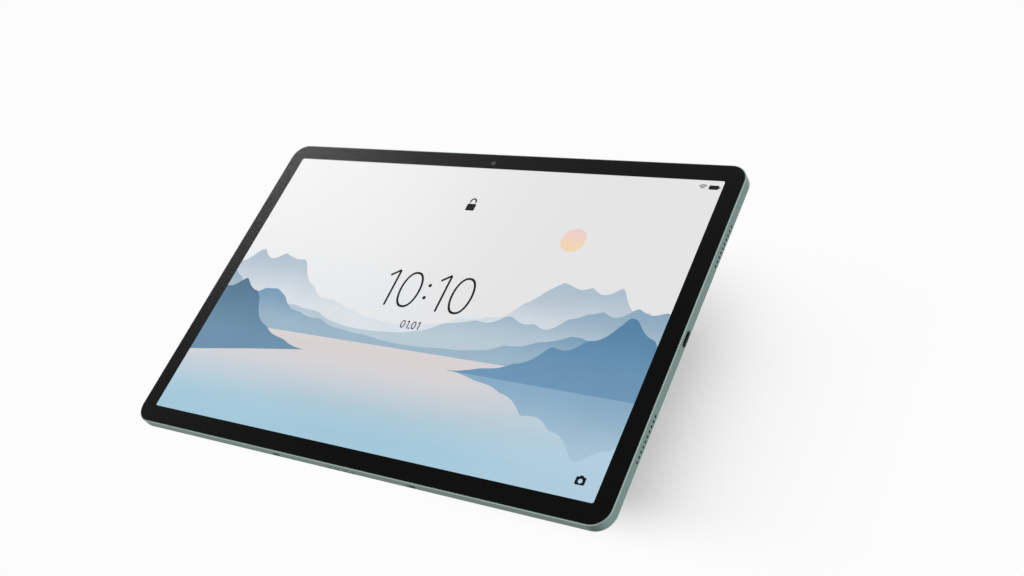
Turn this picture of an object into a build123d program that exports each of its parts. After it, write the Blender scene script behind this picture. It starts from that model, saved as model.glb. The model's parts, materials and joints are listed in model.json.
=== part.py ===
from build123d import *

import os

# A 12.7-inch class tablet computer, standing upright on its bottom long edge.
# Millimetres. +X is right as seen from the screen, +Y runs back through the body and +Z runs up
# to the front camera. The origin is at the bottom edge, under the middle of the body.

# ---------------------------------------------------------------- body
WIDTH = 293.4
HEIGHT = 190.8
THICKNESS = 6.9
CORNER_R = 9.5
MID_Z = HEIGHT / 2
GAP = 0.05                    # between parts that are set into each other
KEY_GAP = 0.1                 # around a part that slides through the frame

# how far each outline lies inside the body's outline
FRONT_RIM = 0.6               # lip of the frame around the glass
REAR_RIM = 1.6                # lip of the frame around the rear cover
SEAL_INSET = 0.3              # print and tape stop this far inside a lip
WALL_INSET = 2.6              # inner face of the frame's wall
SHELF_INSET = 3.6             # opening of the frame at the display

# ---------------------------------------------------------------- layers from front to back
GLASS_T = 0.7
PRINT_T = 0.05
GASKET_T = 0.1
LCD_T = 1.0
FILM_T = 0.25
GUIDE_T = 0.5
TRAY_T = 0.15
PLATE_T = 0.35
COVER_T = 0.7
GLASS_PROUD = 0.1

GLASS_Y = -THICKNESS / 2
RIM_Y = GLASS_Y + GLASS_PROUD
PRINT_Y = GLASS_Y + GLASS_T
LCD_Y = PRINT_Y + PRINT_T
LEDGE_Y = LCD_Y + GASKET_T
FILM_Y = LCD_Y + LCD_T
GUIDE_Y = FILM_Y + FILM_T
TRAY_Y = GUIDE_Y + GUIDE_T
PLATE_Y = TRAY_Y + TRAY_T + 0.1
FLOOR_Y = PLATE_Y + PLATE_T   # floor of the electronics bay
BACK_Y = THICKNESS / 2
COVER_Y = BACK_Y - COVER_T
REAR_LEDGE_Y = COVER_Y - GASKET_T
FRONT_CHAMFER = 0.35
REAR_ROUND = 1.5

# ---------------------------------------------------------------- display
SCREEN_W = 273.5
SCREEN_H = 170.9
LCD_BORDER = 1.0
TRAY_WALL = 0.6
TRAY_W = SCREEN_W + 3.0
TRAY_H = SCREEN_H + 3.0
LED_H = 0.9
FLEX_T = 0.15
FLEX_X = -48.0                # display flex
FLEX_W = 24.0
FLEX_FRONT_Y = -2.0
FLEX_TOP_Z = 183.6
FLEX_TAIL_Z = 172.0
LED_STRIP_L = 270.0

# ---------------------------------------------------------------- edges: ports, keys, grilles
EDGE_Y = 0.3                  # line of the openings in the side walls
EDGE_X = WIDTH / 2
WALL_X = EDGE_X - WALL_INSET
WALL_Z = HEIGHT - WALL_INSET
KEY_SLOT = 2.5                # width of the key slots and of the card slot

GRILLE_R = 0.7
GRILLE_PITCH = 2.5
MESH_T = 0.23
MESH_OVERLAP = 1.2            # a dust mesh reaches this far past its outer holes
# name: (side, lowest hole, number of holes, middle of the speaker box)
BOX_GAP = 0.3                 # from the frame's wall to a speaker box
BOX_FLOOR = 0.3
SPEAKERS = {
    "lower_right": (1, 33.25, 10, 44.5),
    "upper_right": (1, 135.05, 10, 146.3),
    "lower_left": (-1, 33.25, 10, 44.5),
    "upper_left": (-1, 131.9, 5, 128.0),
}
BOX_W = 24.8
BOX_H = 30.0
BOX_WALL = 0.6
BOX_BACK_Y = 2.6
CONE_W = 19.0
CONE_H = 12.0
CONE_Y = 1.95
CONE_SHIFT = 2.4              # a cone sits this much inboard of the middle of its box
CONE_T = 0.2
CONE_GAP = 0.1                # around a cone, in the opening of its box
COIL_R = 4.0
COIL_T = 0.3
COIL_FRONT_Y = 1.0
YOKE_R = 5.2
YOKE_T = 0.7
MAGNET_R = 3.5
MAGNET_FRONT_Y = 0.25
MAGNET_BACK_Y = 1.5

PORT_Z = MID_Z
PORT_W = 8.94                 # outside of the receptacle's shell
PORT_H = 3.16
PORT_WALL = 0.3
PORT_DEPTH = 6.7
PORT_X = EDGE_X - 0.2
PORT_NOTCH = 5.0              # half height of the notch in the boards around the port
TONGUE_T = 0.7
TONGUE_W = 6.7
TONGUE_SET_BACK = 0.9

POWER_Z = 152.05
POWER_L = 16.8
POWER_PROUD = 0.15
VOLUME_X = -112.0
VOLUME_L = 24.2
VOLUME_PROUD = 0.25
FLANGE_T = 0.5
FLANGE_W = 3.0
LIP = 1.4                     # frame left in front of a key's flange
FLANGE_REACH = 1.1            # a flange reaches this far past the ends of its key
FLANGE_PLAY = 0.3             # and its pocket this much further
KEY_BOARD_SET_BACK = 1.4      # from the frame's wall to the board behind a key
KEY_BOARD_T = 0.4
KEY_SWITCH_T = 1.0
KEY_SWITCH_W = 3.4
POST_Y0 = -0.2                # the posts under the keys, front to back
POST_Y1 = 0.8
ROCKER_AXIS_Z = HEIGHT - 1.8
ROCKER_RIB_R = 0.5            # round rib that the volume rocker tilts on
ROCKER_RIB_W = 1.6
ROCKER_DROP = 0.2             # play between the rocker's flange and the frame's lip
ROCKER_ARM = 8.0              # from the rib to each of the rocker's two switches

MIC_X = 30.0
DOCK_X = 43.0                 # keyboard locating slots
DOCK_L = 5.0
DOCK_W = 2.0
DOCK_DEPTH = 1.3
CONTACT_L = 18.0
CONTACT_W = 3.0
CONTACT_PITCH = 5.0
CONTACT_R = 0.9
CONTACT_TAIL_R = 0.5
DOCK_MAGNET_L = 10.0
DOCK_MAGNET_X = (18.5, 30.5, 56, 68)

# ---------------------------------------------------------------- card tray and its ejector
CARD_X = 112.0
CARD_FACE_L = 15.6
CARD_FACE_W = 2.3
CARD_FACE_T = 1.45
CARD_W = 12.4
CARD_T = 1.1
CARD_LOW_Z = 168.5
CARD_X0 = CARD_X - CARD_FACE_L / 2 + 0.6
CARD_X1 = CARD_X0 + CARD_W
READER_WALL = 0.2
ROD_X = CARD_X + CARD_FACE_L / 2 - CARD_FACE_W / 2
ROD_R = 0.4
ROD_LOW_Z = 166.5
LEVER_Z = 165.0
LEVER_ARM = 6.25
LEVER_X = ROD_X - LEVER_ARM
LEVER_TIP = 4.9
LEVER_PIN_R = 0.7
LEVER_HUB_R = 1.5
LEVER_H = 1.4

# ---------------------------------------------------------------- rear cameras
SEAM_Z = 132.1                # where the two rear covers meet
ISLAND_X = -116.65
ISLAND_Z = 173.4
ISLAND_W = 42.0
ISLAND_H = 18.0
ISLAND_R = 3.5
ISLAND_TOP_Y = BACK_Y + 1.1
LENS_X = -128.8
FLASH_X = -112.5
ISLAND_CHAMFER = 0.4
ISLAND_PLUG_INSET = 1.0       # the island's foot, in its opening of the cover
LIGHT_BORE_R = 4.5            # opening in the island under each window
RING_R = 6.25
RING_Y = BACK_Y + 0.5
RING_PROUD = 0.2
WINDOW_PROUD = 0.05
LENS_WINDOW_R = 5.6
FLASH_WINDOW_R = 4.8
CAMERA_SIZE = 10.5
BARREL_R = 3.6

FRONT_CAMERA_Z = 184.7
FRONT_CAMERA_SIZE = 4.2
FRONT_CAMERA_Y0 = -2.0        # its housing, front to back
FRONT_CAMERA_Y1 = 0.3
FRONT_LENS_R = 1.5
HOUSING_BACK_Y = 2.3          # rear camera
FLASH_BOARD_W = 8.0
FLASH_CHIP_W = 3.0
BADGE_X = 141.0
BADGE_Z = 165.4
BADGE_W = 4.2
BADGE_H = 26.0
BADGE_DEPTH = 0.15
BADGE_PROUD = 0.04

# ---------------------------------------------------------------- boards, battery and screws
BOARD_Y = 0.25
BOARD_T = 0.7
BOARD_BACK_Y = BOARD_Y + BOARD_T
BOARD_W = 192.0
BOARD_H = 50.0
BOARD_Z = 155.0
SUB_X0 = 116.0
SUB_X1 = 139.5
SUB_Z0 = 70.0
SUB_Z1 = 121.0
CELL_W = 112.0
CELL_H = 104.0
CELL_X = 58.0
CELL_Z = 72.0
CELL_T = 2.75
CELL_TOP_Z = CELL_Z + CELL_H / 2

BATTERY_BOARD_W = 60.0
BATTERY_BOARD_H = 4.8
ANTENNA_X = 75.0
ANTENNA_Z = 185.4
ANTENNA_W = 26.0
ANTENNA_H = 4.4
MIC_W = 3.5
MIC_H = 2.3

SCREW_R = 0.7
SCREW_L = 1.55
HEAD_R = 1.3
HEAD_T = 0.4
SCREW_GAP = 0.01
LUG_INSET = 5.6
LUG_W = 6.0
LUG_D = 5.0
LUG_T = 1.5
LUG_SHIFT = 0.3               # the lug's middle is this much nearer the wall than its screw
LUG_POINTS = (
    [(x, HEIGHT - LUG_INSET) for x in (-88, -15, 50, 92)]
    + [(x, LUG_INSET) for x in (-125, -82, 82, 125)]
    + [(LUG_INSET - EDGE_X, z) for z in (75, 100)]
    + [(EDGE_X - LUG_INSET, z) for z in (75, 118)]
)
BOARD_POINTS = (
    [(sx * 92, z) for sx in (-1, 1) for z in (133.5, 176.5)]
    + [(0, 134.5), (SUB_X0 + 3.5, 73.5), (SUB_X1 - 3.5, 117.5)]
)


# ---------------------------------------------------------------- shapes used again and again
def slab(x, z, w, h, y0, y1, r=0.0):
    """A flat plate, w by h about (x, z), from y0 back to y1, with corner radius r."""
    outline = RectangleRounded(w, h, r) if r else Rectangle(w, h)
    return Pos(x, y0, z) * extrude(Plane.XZ * outline, y0 - y1)


def block(x0, x1, y0, y1, z0, z1):
    """A box between two corners."""
    size = Box(x1 - x0, y1 - y0, z1 - z0)
    return Pos((x0 + x1) / 2, (y0 + y1) / 2, (z0 + z1) / 2) * size


def disc(x, z, r, y0, y1):
    """A round plate or pin along Y."""
    return Pos(x, y0, z) * extrude(Plane.XZ * Circle(r), y0 - y1)


def body_slab(inset, y0, y1):
    """A plate with the body's outline, drawn in by inset."""
    return slab(0, MID_Z, WIDTH - 2 * inset, HEIGHT - 2 * inset, y0, y1, CORNER_R - inset)


def side_pill(z, long, wide, x0, x1):
    """A stadium shape on the line of the side openings, long along Z, from x0 to x1."""
    outline = Plane.YZ * Rot(0, 0, 90) * SlotOverall(long, wide)
    return Pos(x0, EDGE_Y, z) * extrude(outline, x1 - x0)


def end_pill(x, long, wide, z0, z1):
    """A stadium shape on the line of the end openings, long along X, from z0 to z1."""
    return Pos(x, EDGE_Y, z0) * extrude(Plane.XY * SlotOverall(long, wide), z1 - z0)


def pin_z(x, r, z0, z1):
    """A round pin along Z on the line of the openings."""
    return Pos(x, EDGE_Y, z0) * extrude(Plane.XY * Circle(r), z1 - z0)


def pin_x(z, r, x0, x1):
    """A round pin along X on the line of the openings."""
    return Pos(x0, EDGE_Y, z) * extrude(Plane.YZ * Circle(r), x1 - x0)


def front_edges(shape):
    return shape.faces().sort_by(Axis.Y)[0].edges()


def back_edges(shape):
    return shape.faces().sort_by(Axis.Y)[-1].edges()


def grille_holes(name):
    """Heights of one speaker's grille holes."""
    _, lowest, count, _ = SPEAKERS[name]
    return [lowest + i * GRILLE_PITCH for i in range(count)]


# ---------------------------------------------------------------- frame
def lug(x, z):
    """A block inside the frame, joined to its shelf, that takes one screw of the mid plate."""
    y0, y1 = PLATE_Y - LUG_T, PLATE_Y
    if abs(x) > EDGE_X - LUG_INSET - 1:
        return slab(x + LUG_SHIFT * (1 if x > 0 else -1), z, LUG_D, LUG_W, y0, y1)
    return slab(x, z + LUG_SHIFT * (1 if z > MID_Z else -1), LUG_W, LUG_D, y0, y1)


def make_side_frame():
    frame = body_slab(0, RIM_Y, BACK_Y)
    frame = chamfer(front_edges(frame), FRONT_CHAMFER)
    frame = fillet(back_edges(frame), REAR_ROUND)
    frame -= body_slab(FRONT_RIM, RIM_Y - 1, LEDGE_Y)
    frame -= body_slab(SHELF_INSET, LEDGE_Y - 1, PLATE_Y + 1)
    frame -= body_slab(WALL_INSET, PLATE_Y, BACK_Y)
    frame -= body_slab(REAR_RIM, REAR_LEDGE_Y, BACK_Y + 1)
    for x, z in LUG_POINTS:
        frame += lug(x, z)
        frame -= disc(x, z, SCREW_R + SCREW_GAP, PLATE_Y - LUG_T - 1, PLATE_Y + 1)
    # charging port
    frame -= side_pill(PORT_Z, PORT_W + 0.1, PORT_H + 0.1, SUB_X1, EDGE_X + 1)
    # speaker grilles
    for name, (side, _, _, _) in SPEAKERS.items():
        for z in grille_holes(name):
            x0, x1 = sorted((side * (EDGE_X + 1), side * (WALL_X - 0.5)))
            frame -= pin_x(z, GRILLE_R, x0, x1)
    # power button: a slot in the lip and a pocket behind it
    pocket_y0 = EDGE_Y - FLANGE_W / 2 - 0.25
    pocket_y1 = EDGE_Y + FLANGE_W / 2 + 0.25
    half = POWER_L / 2 + FLANGE_REACH + FLANGE_PLAY
    frame -= side_pill(POWER_Z, POWER_L + 2 * KEY_GAP, KEY_SLOT, -EDGE_X - 1, -WALL_X)
    frame -= block(-EDGE_X + LIP, -WALL_X + 1.1, pocket_y0, pocket_y1, POWER_Z - half, POWER_Z + half)
    # volume rocker
    half = VOLUME_L / 2 + FLANGE_REACH + FLANGE_PLAY
    frame -= end_pill(VOLUME_X, VOLUME_L + 2 * KEY_GAP, KEY_SLOT, WALL_Z, HEIGHT + 1)
    frame -= block(VOLUME_X - half, VOLUME_X + half, pocket_y0, pocket_y1, WALL_Z - 1.1, HEIGHT - LIP + 0.1)
    # card slot and microphone holes
    frame -= end_pill(CARD_X, CARD_FACE_L + 2 * KEY_GAP, KEY_SLOT, WALL_Z - 1.2, HEIGHT + 1)
    for x in (-MIC_X, MIC_X):
        frame -= pin_z(x, 0.45, WALL_Z - 0.5, HEIGHT + 1)
    # keyboard locating slots and contact window
    for x in (-DOCK_X, DOCK_X):
        frame -= end_pill(x, DOCK_L, DOCK_W, -1, DOCK_DEPTH)
    frame -= end_pill(0, CONTACT_L + 2 * GAP, CONTACT_W + 2 * GAP, -1, SHELF_INSET + 0.1)
    return frame


def port_notch(x0, y0, y1):
    """The room that a plate or board leaves around the charging port, from x0 outwards."""
    return block(x0, EDGE_X, y0 - 1, y1 + 1, PORT_Z - PORT_NOTCH, PORT_Z + PORT_NOTCH)


def make_mid_plate():
    plate = body_slab(WALL_INSET + GAP, PLATE_Y, FLOOR_Y)
    for x, z in BOARD_POINTS:
        plate += disc(x, z, 1.6, FLOOR_Y, BOARD_Y)
        plate -= disc(x, z, SCREW_R + SCREW_GAP, PLATE_Y - 1, BOARD_Y + 1)
    for x, z in LUG_POINTS:
        plate -= disc(x, z, SCREW_R + 0.1, PLATE_Y - 1, FLOOR_Y + 1)
    plate -= port_notch(SUB_X1 - 0.2, PLATE_Y, FLOOR_Y)
    plate -= slab(0, FRONT_CAMERA_Z, 4.8, 4.8, PLATE_Y - 1, FLOOR_Y + 1)
    plate -= slab(FLEX_X, FLEX_TOP_Z, FLEX_W + 4, 1.4, PLATE_Y - 1, FLOOR_Y + 1)
    return plate


# ---------------------------------------------------------------- rear covers
def island_plug(spare, y0, y1):
    """The foot of the camera island, larger by spare all round."""
    w = ISLAND_W - 2 * ISLAND_PLUG_INSET + 2 * spare
    h = ISLAND_H - 2 * ISLAND_PLUG_INSET + 2 * spare
    return slab(ISLAND_X, ISLAND_Z, w, h, y0, y1, ISLAND_R - ISLAND_PLUG_INSET)


def badge(spare, y0, y1):
    return slab(BADGE_X, BADGE_Z, BADGE_W + 2 * spare, BADGE_H + 2 * spare, y0, y1, 1.0)


def make_rear_cover_lower():
    cover = body_slab(REAR_RIM + GAP, COVER_Y, BACK_Y)
    return cover & block(-EDGE_X, EDGE_X, COVER_Y - 1, BACK_Y + 1, 0, SEAM_Z - GAP)


def make_rear_cover_upper():
    cover = body_slab(REAR_RIM + GAP, COVER_Y, BACK_Y)
    cover &= block(-EDGE_X, EDGE_X, COVER_Y - 1, BACK_Y + 1, SEAM_Z + GAP, HEIGHT)
    cover -= island_plug(GAP, COVER_Y - 1, BACK_Y + 1)
    return cover - badge(GAP, BACK_Y - BADGE_DEPTH, BACK_Y + 1)


def make_rear_cover_adhesive():
    ring = body_slab(REAR_RIM + SEAL_INSET, REAR_LEDGE_Y, COVER_Y)
    ring -= body_slab(WALL_INSET - 0.1, REAR_LEDGE_Y - 1, COVER_Y + 1)
    return ring + block(-WALL_X, WALL_X, REAR_LEDGE_Y, COVER_Y, SEAM_Z - 4, SEAM_Z + 4)


def make_badge_inlay():
    return badge(0, BACK_Y - BADGE_DEPTH, BACK_Y + BADGE_PROUD)


# ---------------------------------------------------------------- camera island
def make_camera_island():
    top = slab(ISLAND_X, ISLAND_Z, ISLAND_W, ISLAND_H, BACK_Y, ISLAND_TOP_Y, ISLAND_R)
    island = chamfer(back_edges(top), ISLAND_CHAMFER) + island_plug(0, COVER_Y, BACK_Y)
    for x in (LENS_X, FLASH_X):
        island -= disc(x, ISLAND_Z, RING_R + GAP, RING_Y, ISLAND_TOP_Y + 1)
        island -= disc(x, ISLAND_Z, LIGHT_BORE_R, COVER_Y - 1, ISLAND_TOP_Y + 1)
    return island


def make_lens_rings():
    rings = []
    for x, bore in ((LENS_X, LENS_WINDOW_R), (FLASH_X, FLASH_WINDOW_R)):
        ring = disc(x, ISLAND_Z, RING_R, RING_Y, ISLAND_TOP_Y + RING_PROUD)
        ring = chamfer(back_edges(ring), RING_PROUD)
        rings.append(ring - disc(x, ISLAND_Z, bore + GAP, RING_Y - 1, ISLAND_TOP_Y + 1))
    return Compound(rings)


def make_rear_camera_window():
    return disc(LENS_X, ISLAND_Z, LENS_WINDOW_R, RING_Y, ISLAND_TOP_Y + WINDOW_PROUD)


def make_flash_window():
    return disc(FLASH_X, ISLAND_Z, FLASH_WINDOW_R, RING_Y, ISLAND_TOP_Y + WINDOW_PROUD)


def make_flash_led_board():
    board = slab(FLASH_X, ISLAND_Z, FLASH_BOARD_W, FLASH_BOARD_W, 1.9, 2.4)
    return board + slab(FLASH_X, ISLAND_Z, FLASH_CHIP_W, FLASH_CHIP_W, 2.4, 3.1)


def make_rear_camera_housing():
    housing = slab(LENS_X, ISLAND_Z, CAMERA_SIZE, CAMERA_SIZE, FLOOR_Y, HOUSING_BACK_Y, 0.6)
    return housing - disc(LENS_X, ISLAND_Z, BARREL_R + 0.3, 0.2, 3.0)


def make_autofocus_lens_barrel():
    barrel = disc(LENS_X, ISLAND_Z, BARREL_R, 0.3, 2.9)
    nose = disc(LENS_X, ISLAND_Z, BARREL_R - 0.4, 2.9, 3.3)
    return barrel + nose - disc(LENS_X, ISLAND_Z, 2.2, 2.8, 3.4)


# ---------------------------------------------------------------- display
def make_cover_glass():
    glass = body_slab(FRONT_RIM + GAP, GLASS_Y, PRINT_Y)
    return chamfer(front_edges(glass), 0.08)


def make_black_border_print():
    ring = body_slab(FRONT_RIM + SEAL_INSET, PRINT_Y, LCD_Y)
    ring -= slab(0, MID_Z, SCREEN_W, SCREEN_H, PRINT_Y - 1, LCD_Y + 1, 1.0)
    return ring - disc(0, FRONT_CAMERA_Z, FRONT_LENS_R + 0.1, PRINT_Y - 1, LCD_Y + 1)


def make_display_gasket():
    ring = body_slab(FRONT_RIM + SEAL_INSET, LCD_Y, LEDGE_Y)
    return ring - body_slab(SHELF_INSET - 0.2, LCD_Y - 1, LEDGE_Y + 1)


def make_lcd_panel():
    return slab(0, MID_Z, SCREEN_W + 2 * LCD_BORDER, SCREEN_H + 2 * LCD_BORDER, LCD_Y, FILM_Y)


def tray_inside(y0, y1):
    return slab(0, MID_Z, TRAY_W - 2 * TRAY_WALL, TRAY_H - 2 * TRAY_WALL, y0, y1)


def make_optical_film_stack():
    return slab(0, MID_Z, TRAY_W - 2 * TRAY_WALL - 0.4, TRAY_H - 2 * TRAY_WALL - 0.4, FILM_Y, GUIDE_Y)


def make_light_guide_plate():
    height = TRAY_H - 2 * TRAY_WALL - LED_H - 0.2
    return slab(0, MID_Z + LED_H / 2, TRAY_W - 2 * TRAY_WALL - 0.4, height, GUIDE_Y, TRAY_Y)


def make_backlight_led_strip():
    low = MID_Z - TRAY_H / 2 + TRAY_WALL
    return block(-LED_STRIP_L / 2, LED_STRIP_L / 2, GUIDE_Y, TRAY_Y, low, low + LED_H)


def make_backlight_tray():
    tray = slab(0, MID_Z, TRAY_W, TRAY_H, FILM_Y, TRAY_Y + TRAY_T)
    return tray - tray_inside(FILM_Y - 1, TRAY_Y)


def make_display_flex():
    x0, x1 = FLEX_X - FLEX_W / 2, FLEX_X + FLEX_W / 2
    low, top = MID_Z + SCREEN_H / 2 + LCD_BORDER, FLEX_TOP_Z
    flex = block(x0, x1, FLEX_FRONT_Y, FLEX_FRONT_Y + FLEX_T, low, top)
    flex += block(x0, x1, FLEX_FRONT_Y, BOARD_BACK_Y + FLEX_T, top - FLEX_T, top)
    return flex + block(x0, x1, BOARD_BACK_Y, BOARD_BACK_Y + FLEX_T, FLEX_TAIL_Z, top)


def make_front_camera_module():
    size = FRONT_CAMERA_SIZE
    body = slab(0, FRONT_CAMERA_Z, size, size, FRONT_CAMERA_Y0, FRONT_CAMERA_Y1, 0.3)
    return body + disc(0, FRONT_CAMERA_Z, FRONT_LENS_R, LCD_Y + 0.02, FRONT_CAMERA_Y0)


# ---------------------------------------------------------------- battery and boards
def make_battery_cell(side):
    cell = slab(side * CELL_X, CELL_Z, CELL_W, CELL_H, FLOOR_Y, FLOOR_Y + CELL_T, 3.0)
    return fillet(back_edges(cell), 0.8)


def make_battery_board():
    half, top = BATTERY_BOARD_W / 2, CELL_TOP_Z + BATTERY_BOARD_H
    board = block(-half, half, BOARD_Y, BOARD_BACK_Y, CELL_TOP_Z, top)
    y1 = BOARD_BACK_Y + FLEX_T
    return board + block(-5, 5, BOARD_BACK_Y, y1, CELL_TOP_Z + 2, CELL_TOP_Z + 8)


def make_main_board():
    board = slab(0, BOARD_Z, BOARD_W, BOARD_H, BOARD_Y, BOARD_BACK_Y, 2.0)
    for x, z in BOARD_POINTS[:5]:
        board -= disc(x, z, SCREW_R + 0.1, BOARD_Y - 1, BOARD_BACK_Y + 1)
    return board


def make_main_board_chips():
    """Processor, memory, storage, power and radio chips, then the flex connectors."""
    y = BOARD_BACK_Y
    chips = [
        slab(-20, 158, 14, 14, y, y + 0.9),
        slab(4, 158, 11.5, 13, y, y + 0.9),
        slab(26, 158, 11.5, 13, y, y + 0.8),
        slab(-66, 150, 8, 8, y, y + 0.8),
        slab(60, 158, 7, 7, y, y + 0.8),
        slab(-75, 172, 12, 3, y, y + 0.9),
        slab(75, 139, 10, 3, y, y + 0.9),
        slab(-25, 137, 12, 3, y, y + 0.9),
    ]
    return Compound(chips)


def make_shield_cans():
    cans = []
    for x, z, w, h in ((3, 158, 72, 24), (-66, 150, 20, 20), (60, 158, 24, 24)):
        can = slab(x, z, w, h, BOARD_BACK_Y, BOARD_BACK_Y + 1.3, 0.6)
        cans.append(can - slab(x, z, w - 0.4, h - 0.4, BOARD_BACK_Y - 1, BOARD_BACK_Y + 1.1, 0.4))
    return Compound(cans)


def make_usb_sub_board():
    board = block(SUB_X0, SUB_X1, BOARD_Y, BOARD_BACK_Y, SUB_Z0, SUB_Z1)
    board -= port_notch(SUB_X1 - 3, BOARD_Y, BOARD_BACK_Y)
    for x, z in BOARD_POINTS[5:]:
        board -= disc(x, z, SCREW_R + 0.1, BOARD_Y - 1, BOARD_BACK_Y + 1)
    return board


def make_sub_board_flex():
    y0, y1 = BOARD_BACK_Y, BOARD_BACK_Y + FLEX_T
    z0, z1 = CELL_TOP_Z + 0.8, CELL_TOP_Z + 4.8
    flex = block(118, 126, y0, y1, 108, z1)
    flex += block(84, 126, y0, y1, z0, z1)
    return flex + block(80, 88, y0, y1, z0, 137)


def make_usb_c_shell():
    shell = side_pill(PORT_Z, PORT_W, PORT_H, PORT_X - PORT_DEPTH, PORT_X)
    bore_w, bore_h = PORT_W - 2 * PORT_WALL, PORT_H - 2 * PORT_WALL
    return shell - side_pill(PORT_Z, bore_w, bore_h, PORT_X - PORT_DEPTH - 1, PORT_X + 1)


def make_usb_c_tongue():
    """The moulded insert: a plug inside the shell, the contact tongue and the tail on the board."""
    back = PORT_X - PORT_DEPTH
    bore_w, bore_h = PORT_W - 2 * PORT_WALL, PORT_H - 2 * PORT_WALL
    insert = side_pill(PORT_Z, bore_w, bore_h, back, back + 1.0)
    y0, y1 = EDGE_Y - TONGUE_T / 2, EDGE_Y + TONGUE_T / 2
    z0, z1 = PORT_Z - TONGUE_W / 2, PORT_Z + TONGUE_W / 2
    insert += block(back, PORT_X - TONGUE_SET_BACK, y0, y1, z0, z1)
    return insert + block(SUB_X1 - 2.8, back, EDGE_Y - 0.5, EDGE_Y + 1.1, PORT_Z - 4, PORT_Z + 4)


def make_wifi_antennas():
    return Compound([slab(side * ANTENNA_X, ANTENNA_Z, ANTENNA_W, ANTENNA_H, 1.0, 2.4) for side in (-1, 1)])


def make_microphones():
    half = MIC_W / 2
    places = (-MIC_X, MIC_X)
    return Compound([block(x - half, x + half, -0.2, 1.0, WALL_Z - MIC_H, WALL_Z) for x in places])


def make_screws():
    screws = []
    for points, seat in ((LUG_POINTS, FLOOR_Y), (BOARD_POINTS, BOARD_BACK_Y)):
        for x, z in points:
            head = disc(x, z, HEAD_R, seat, seat + HEAD_T)
            recess = slab(x, z, 0.9, 0.3, seat + 0.2, seat + 1) + slab(x, z, 0.3, 0.9, seat + 0.2, seat + 1)
            screws.append(head + disc(x, z, SCREW_R, seat - SCREW_L, seat) - recess)
    return Compound(screws)


# ---------------------------------------------------------------- speakers
def cone_centre(name):
    side, _, _, z = SPEAKERS[name]
    return side * (WALL_X - BOX_GAP - BOX_W / 2 - CONE_SHIFT), z


def make_speaker_box(name):
    side, _, _, z = SPEAKERS[name]
    x = side * (WALL_X - BOX_GAP - BOX_W / 2)
    box = slab(x, z, BOX_W, BOX_H, FLOOR_Y, BOX_BACK_Y, 1.0)
    inside_w, inside_h = BOX_W - 2 * BOX_WALL, BOX_H - 2 * BOX_WALL
    box -= slab(x, z, inside_w, inside_h, FLOOR_Y + BOX_FLOOR, BOX_BACK_Y - BOX_WALL, 0.5)
    cx, cz = cone_centre(name)
    opening = Rot(0, 0, 90) * SlotOverall(CONE_W + 2 * CONE_GAP, CONE_H + 2 * CONE_GAP)
    box -= Pos(cx, 1.5, cz) * extrude(Plane.XZ * opening, -2.0)
    holes = grille_holes(name)
    x0, x1 = sorted((side * (WALL_X - 2), side * WALL_X))
    top = min(holes[-1] + 0.6, z + BOX_H / 2 - BOX_WALL)
    return box - block(x0, x1, FLOOR_Y + BOX_FLOOR, 1.0, holes[0] - 0.6, top)


def make_speaker_diaphragm(name):
    """A flat racetrack cone with its voice coil in front of it."""
    cx, cz = cone_centre(name)
    outline = Rot(0, 0, 90) * SlotOverall(CONE_W, CONE_H)
    cone = Pos(cx, CONE_Y, cz) * extrude(Plane.XZ * outline, -CONE_T)
    coil = disc(cx, cz, COIL_R, COIL_FRONT_Y, CONE_Y)
    return cone + coil - disc(cx, cz, COIL_R - COIL_T, COIL_FRONT_Y - 1, CONE_Y)


def make_speaker_magnets():
    magnets = []
    for name in SPEAKERS:
        cx, cz = cone_centre(name)
        yoke = disc(cx, cz, YOKE_R, FLOOR_Y + BOX_FLOOR, MAGNET_BACK_Y)
        yoke -= disc(cx, cz, YOKE_R - YOKE_T, MAGNET_FRONT_Y, MAGNET_BACK_Y + 1)
        magnets.append(yoke + disc(cx, cz, MAGNET_R, MAGNET_FRONT_Y, MAGNET_BACK_Y))
    return Compound(magnets)


def make_speaker_meshes():
    strips = []
    for name, (side, _, _, _) in SPEAKERS.items():
        holes = grille_holes(name)
        x0, x1 = sorted((side * (WALL_X - 0.02 - MESH_T), side * (WALL_X - 0.02)))
        z0, z1 = holes[0] - MESH_OVERLAP, holes[-1] + MESH_OVERLAP
        strips.append(block(x0, x1, EDGE_Y - 0.6, EDGE_Y + 0.9, z0, z1))
    return Compound(strips)


# ---------------------------------------------------------------- power button
BUTTON_X = -EDGE_X - POWER_PROUD
FLANGE_X = -EDGE_X + LIP + GAP


def window_pocket(x0, x1, spare):
    return side_pill(POWER_Z, POWER_L - 1.6 + 2 * spare, 1.5 + 2 * spare, x0, x1)


def make_power_button():
    button = side_pill(POWER_Z, POWER_L, KEY_SLOT - 2 * KEY_GAP, BUTTON_X, FLANGE_X)
    button = chamfer(button.faces().sort_by(Axis.X)[0].edges(), 0.12)
    half = POWER_L / 2 + FLANGE_REACH
    y0, y1 = EDGE_Y - FLANGE_W / 2, EDGE_Y + FLANGE_W / 2
    button += block(FLANGE_X, FLANGE_X + FLANGE_T, y0, y1, POWER_Z - half, POWER_Z + half)
    button += block(FLANGE_X + FLANGE_T, -WALL_X, POST_Y0, POST_Y1, POWER_Z - 1, POWER_Z + 1)
    return button - window_pocket(BUTTON_X - 1, BUTTON_X + 0.2, 0)


def make_fingerprint_window():
    return window_pocket(BUTTON_X - 0.01, BUTTON_X + 0.2, 0)


def make_power_switch_board():
    x0 = -WALL_X + KEY_BOARD_SET_BACK
    half = KEY_SWITCH_W / 2
    board = block(x0, x0 + KEY_BOARD_T, FLOOR_Y, 2.2, POWER_Z - 7.5, POWER_Z + 7.5)
    return board + block(x0 - KEY_SWITCH_T, x0, -0.3, 1.5, POWER_Z - half, POWER_Z + half)


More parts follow.
